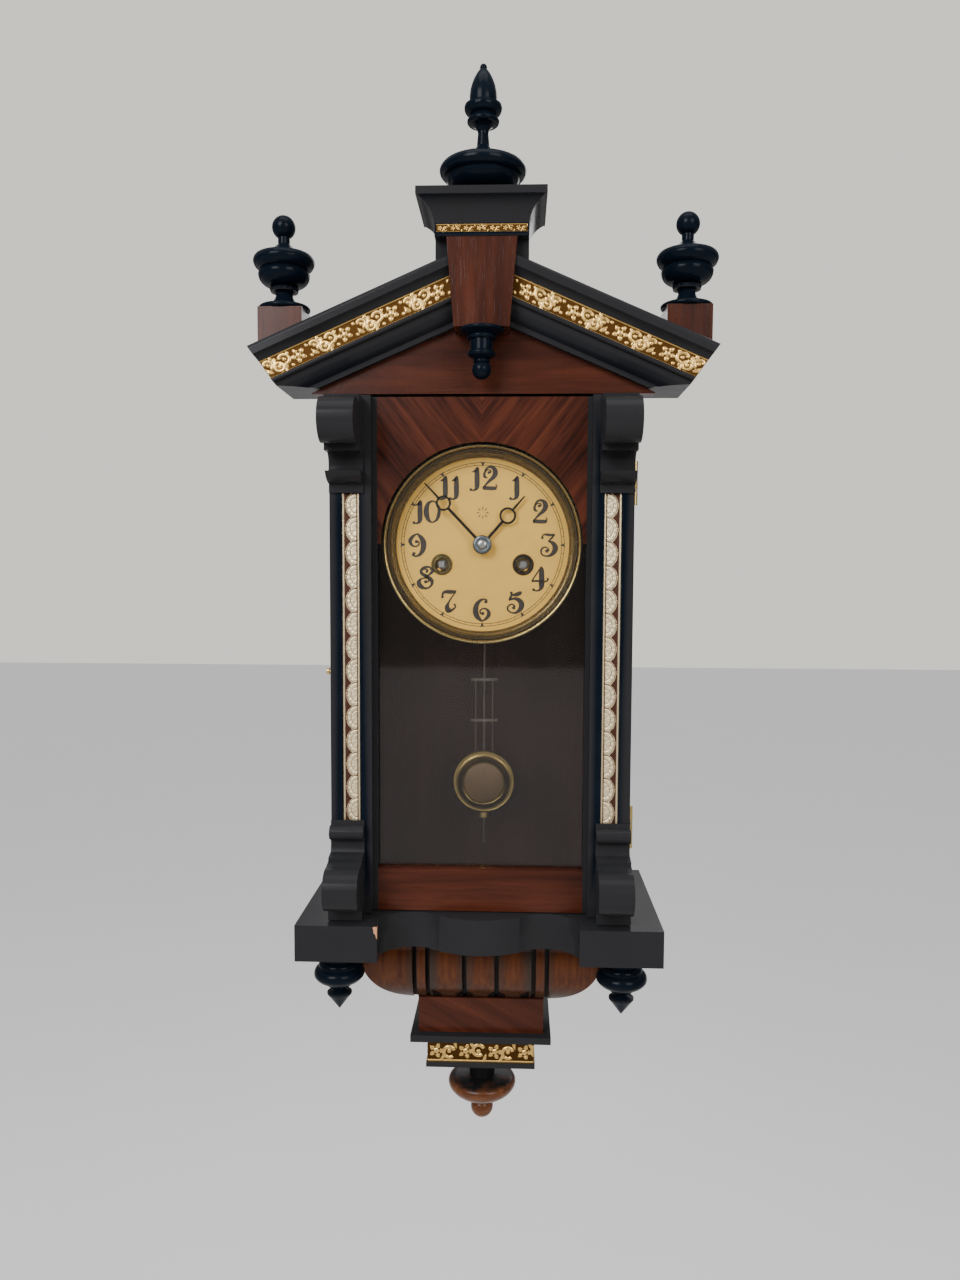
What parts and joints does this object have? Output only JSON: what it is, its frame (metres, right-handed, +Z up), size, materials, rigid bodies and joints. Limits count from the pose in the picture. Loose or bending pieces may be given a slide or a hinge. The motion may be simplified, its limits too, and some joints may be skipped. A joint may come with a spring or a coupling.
{
  "type": "pendulum wall clock",
  "caption": "Glazed wooden wall clock with a gabled top, turned finials, round brass dial, winding arbors and a swinging grid pendulum behind a hinged door.",
  "frame": {"origin": "centre of the hanger plate's hole, on the back face of the case, which is the wall plane", "axes": "+Z up, +X to the viewer's right, +Y into the wall"},
  "size_m": [0.3262, 0.1545, 0.7591],
  "materials": {
    "ebonised_wood": "satin black stain and polish",
    "walnut": "french-polished reddish walnut",
    "walnut_light": "french-polished orange walnut",
    "interior_wood": "satin stained pine",
    "gilt": "stamped gilt, aged",
    "cream_gilt": "pale stamped metal leaf",
    "brass": "lacquered, aged",
    "dial_brass": "satin",
    "steel": "polished",
    "blued_steel": "blued, nearly black",
    "gong_steel": "blued spring steel",
    "glass": "old sheet glass"
  },
  "bodies": {
    "case": {"apron_block": "walnut", "apron_bottom_plate": "ebonised_wood", "apron_gilt_band": "gilt", "apron_ledge": "ebonised_wood", "back_board": "interior_wood", "base_drops": "ebonised_wood", "base_plinth": "ebonised_wood", "bottom_drop": "walnut_light", "corner_blocks": "walnut", "corner_finials": "ebonised_wood", "crown_cap": "ebonised_wood", "crown_finial": "ebonised_wood", "crown_gilt_strip": "gilt", "dial": "dial_brass", "dial_bezel": "brass", "gable_soffit": "walnut", "gadroon_apron": "walnut_light", "gong_block": "gong_steel", "gong_coil": "gong_steel", "hanger_plate": "steel", "hinge_case_leaves": "brass", "keystone": "walnut", "keystone_drop": "ebonised_wood", "latch_screw": "brass", "movement_back_plate": "brass", "movement_front_plate": "brass", "movement_rails": "steel", "plate_pillars": "brass", "raking_cornice_left": "ebonised_wood", "raking_cornice_right": "ebonised_wood", "raking_gilt_strips": "gilt", "side_panels": "interior_wood", "suspension_cock": "brass", "top_board": "interior_wood", "tympanum": "walnut", "winding_grommets": "brass"},
    "door": {"door_glass": "glass", "door_stiles": "ebonised_wood", "door_bottom_rail": "walnut", "door_top_rail": "walnut", "door_spandrel": "walnut", "pilasters": "ebonised_wood", "pilaster_gilt_strips": "cream_gilt", "upper_consoles": "ebonised_wood", "lower_consoles": "ebonised_wood", "hinge_door_leaves": "brass", "latch_stud": "brass"},
    "latch": {"latch_hook": "brass"},
    "minute": {"centre_arbor": "brass", "minute_hand": "blued_steel", "hand_nut": "brass"},
    "hour": {"hour_hand": "blued_steel"},
    "going": {"going_barrel": "brass"},
    "strike": {"strike_barrel": "brass"},
    "anchor": {"anchor_and_crutch": "steel"},
    "pendulum": {"suspension_spring": "steel", "pendulum_rod": "steel", "pendulum_bob": "brass"},
    "rating": {"rating_nut": "brass"},
    "hammer": {"strike_hammer": "steel"}
  },
  "joints": [
    {"name": "door_hinge", "type": "hinge", "parent": "case", "child": "door", "pos_m": [0.105, -0.094, -0.24], "axis": [0, 0, 1], "range_deg": [0, 110]},
    {"name": "latch_turn", "type": "hinge", "parent": "case", "child": "latch", "pos_m": [-0.1044, -0.08, -0.2485], "axis": [-1, 0, 0], "range_deg": [0, 90]},
    {"name": "minute_turn", "type": "hinge", "parent": "case", "child": "minute", "pos_m": [0, -0.08, -0.1596], "axis": [0, 1, 0], "continuous": true},
    {"name": "hour_turn", "type": "hinge", "parent": "case", "child": "hour", "pos_m": [0, -0.08, -0.1596], "axis": [0, 1, 0], "continuous": true},
    {"name": "going_winding", "type": "hinge", "parent": "case", "child": "going", "pos_m": [0.0288, -0.05, -0.1734], "axis": [0, 1, 0], "continuous": true},
    {"name": "strike_winding", "type": "hinge", "parent": "case", "child": "strike", "pos_m": [-0.0288, -0.05, -0.1734], "axis": [0, 1, 0], "continuous": true},
    {"name": "pendulum_swing", "type": "hinge", "parent": "case", "child": "pendulum", "pos_m": [0, -0.028, -0.1156], "axis": [0, 1, 0], "range_deg": [-5, 5]},
    {"name": "anchor_rock", "type": "hinge", "parent": "case", "child": "anchor", "pos_m": [0, -0.04, -0.1156], "axis": [0, 1, 0], "range_deg": [-5, 5]},
    {"name": "rating_turn", "type": "hinge", "parent": "pendulum", "child": "rating", "pos_m": [0, -0.028, -0.3651], "axis": [0, 0, 1], "continuous": true},
    {"name": "hammer_lift", "type": "hinge", "parent": "case", "child": "hammer", "pos_m": [-0.042, -0.03, -0.1196], "axis": [0, 1, 0], "range_deg": [-1.5, 12]}
  ],
  "couplings": [
    {"joint": "hour_turn", "follows": "minute_turn", "ratio": 0.083333},
    {"joint": "anchor_rock", "follows": "pendulum_swing", "ratio": 1}
  ]
}
